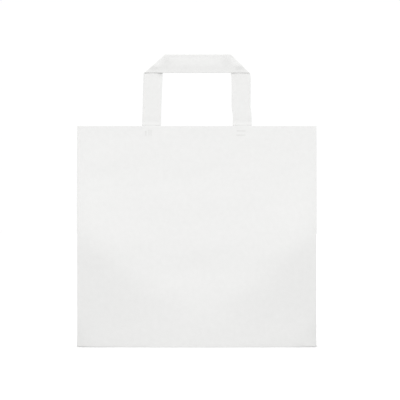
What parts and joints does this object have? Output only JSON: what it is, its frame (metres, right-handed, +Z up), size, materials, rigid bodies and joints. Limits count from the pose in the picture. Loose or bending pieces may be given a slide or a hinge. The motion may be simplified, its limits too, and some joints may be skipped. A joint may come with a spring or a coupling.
{
  "type": "non-woven shopping bag",
  "caption": "Open, standing shopping bag of white non-woven sheet with folded-in side gussets, a flat base, a hemmed mouth and flat strap handles with folded corners.",
  "frame": {"origin": "on the ground, under the middle of the base", "axes": "+Z up, along the handles' rise and the longest side; +X across the width of the bag; the front panel faces -Y, which is the shortest side"},
  "size_m": [0.38, 0.1232, 0.4643],
  "materials": {
    "bag_sheet": "matt white spunbond non-woven polypropylene with a fine pattern of pressed dots",
    "handle_strap": "the same white non-woven, folded to a flat strap"
  },
  "bodies": {
    "root": {"bag_body": "bag_sheet", "front_handle": "handle_strap", "rear_handle": "handle_strap"}
  },
  "joints": []
}
